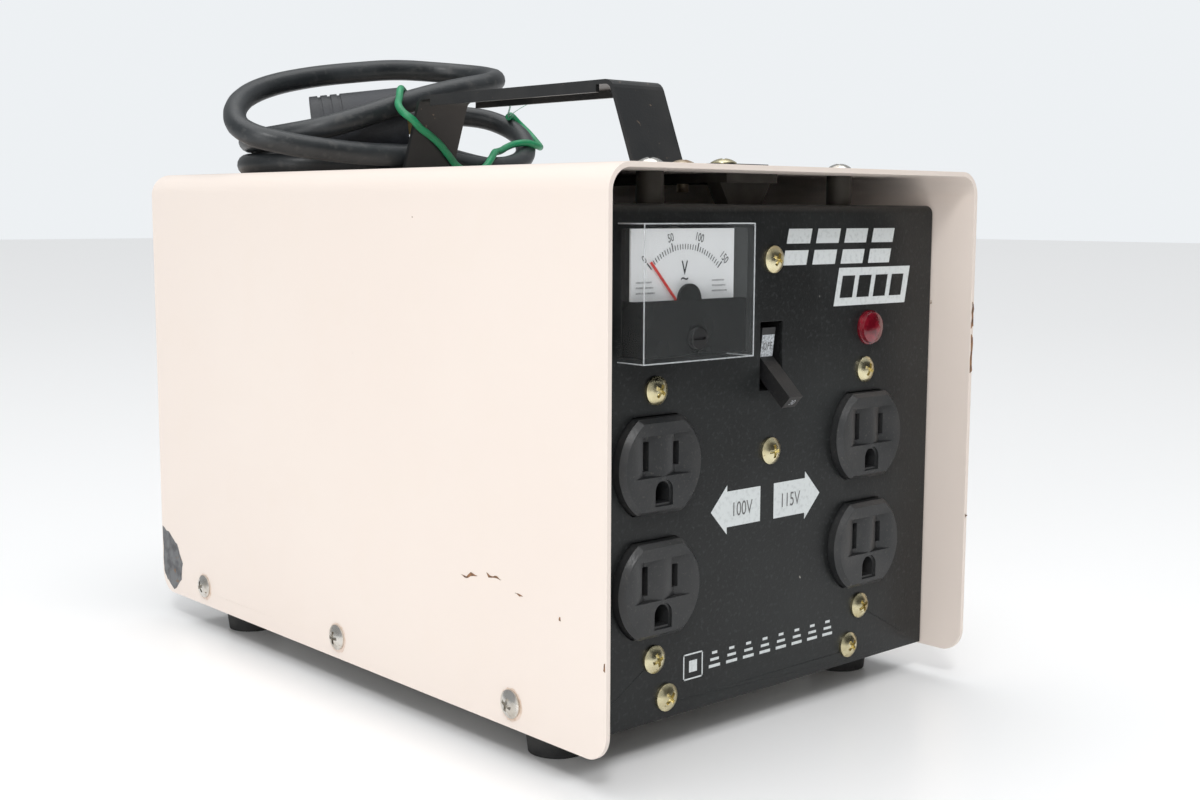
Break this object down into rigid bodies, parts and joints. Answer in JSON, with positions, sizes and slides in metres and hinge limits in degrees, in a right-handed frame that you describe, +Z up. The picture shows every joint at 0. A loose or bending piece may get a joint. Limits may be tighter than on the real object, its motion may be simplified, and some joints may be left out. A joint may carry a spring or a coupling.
{
  "type": "portable transformer",
  "caption": "Portable step-down transformer box with a carrying handle, two duplex outlets, a needle voltmeter, a rocker breaker, a pilot lamp and a coiled mains cord",
  "frame": {"origin": "on the table under the middle of the case", "axes": "+X right seen from the outlet panel, +Y from the outlet panel to the rear, +Z up"},
  "size_m": [0.1786, 0.323, 0.2418],
  "materials": {
    "cover_enamel": "smooth pale pink-cream baked enamel, half gloss, chipped at a lower corner",
    "panel_paint": "black paint with a fine texture, half gloss, slightly dusty",
    "plain_steel": "plain sheet steel, dull",
    "foot_rubber": "black moulded rubber",
    "nickel": "nickel plate, dulled by handling",
    "yellow_zinc": "yellow passivated zinc plate",
    "aged_zinc": "zinc plate gone tan and dull",
    "handle_black": "satin black paint, worn on the edges",
    "black_moulding": "black moulded plastic",
    "clear_plastic": "clear moulded plastic, finely scratched",
    "dial_white": "white printed dial plate",
    "needle_red": "red painted pointer",
    "contact_brass": "brass, slightly tarnished",
    "red_lens": "dark red translucent lens",
    "outlet_black": "black moulded phenolic, half gloss",
    "core_steel": "varnished silicon steel laminations",
    "bobbin_nylon": "natural nylon",
    "enamelled_copper": "enamelled copper wire, varnished",
    "paper_tape": "varnished insulating tape",
    "lead_vinyl": "vinyl covered hook-up wire",
    "cord_rubber": "black cabtyre sheath, slightly matt",
    "plug_rubber": "black moulded rubber plug",
    "green_vinyl": "green vinyl covered earth lead"
  },
  "bodies": {
    "case": {"cover": "cover_enamel", "front_panel": "panel_paint", "rear_panel": "panel_paint", "base_tray": "plain_steel", "feet": "foot_rubber", "foot_screws": "plain_steel", "foot_nuts": "plain_steel", "cover_side_screws": "nickel", "cover_top_screws": "nickel", "cover_spacers": "plain_steel", "handle": "handle_black", "handle_screws_inner": "aged_zinc", "handle_screws_outer": "yellow_zinc", "lift_bar": "plain_steel", "panel_screws": "yellow_zinc", "meter_case": "black_moulding", "meter_window": "clear_plastic", "meter_mask": "black_moulding", "meter_dial": "dial_white", "meter_studs": "contact_brass", "breaker_body": "black_moulding", "breaker_terminals": "contact_brass", "pilot_lens": "red_lens", "pilot_body": "black_moulding", "pilot_nut": "plain_steel", "outlet_left": "outlet_black", "outlet_right": "outlet_black", "outlet_yoke_left": "plain_steel", "outlet_yoke_right": "plain_steel", "outlet_contacts_left": "contact_brass", "outlet_contacts_right": "contact_brass", "core": "core_steel", "bobbin": "bobbin_nylon", "winding": "enamelled_copper", "winding_wrap": "paper_tape", "core_rail_front": "plain_steel", "core_rail_rear": "plain_steel", "core_bolts": "plain_steel", "core_nuts": "plain_steel", "rail_bolts": "plain_steel", "terminal_strip": "black_moulding", "terminal_screws": "contact_brass", "breaker_lead": "lead_vinyl", "meter_lead": "lead_vinyl", "supply_lead": "lead_vinyl", "cord_gland": "black_moulding", "gland_nut": "black_moulding", "strain_relief": "cord_rubber", "cord_lead": "cord_rubber", "cord_coil_low": "cord_rubber", "cord_loop_top": "cord_rubber", "cord_tail": "cord_rubber", "plug_body": "plug_rubber", "plug_pins": "contact_brass", "earth_lead": "green_vinyl"},
    "needle": {"meter_needle": "needle_red"},
    "lever": {"breaker_lever": "black_moulding"},
    "zero_screw": {"meter_zero_screw": "black_moulding"}
  },
  "joints": [
    {"name": "needle_swing", "type": "hinge", "parent": "case", "child": "needle", "pos_m": [-0.044, -0.1262, 0.1376], "axis": [0, 1, 0], "range_deg": [0, 88], "stiffness_Nm_per_rad": 0.00002},
    {"name": "lever_throw", "type": "hinge", "parent": "case", "child": "lever", "pos_m": [0, -0.1151, 0.1224], "axis": [-1, 0, 0], "range_deg": [0, 85.2]},
    {"name": "zero_turn", "type": "hinge", "parent": "case", "child": "zero_screw", "pos_m": [-0.0445, -0.1314, 0.131], "axis": [0, -1, 0], "range_deg": [-40, 40]}
  ]
}
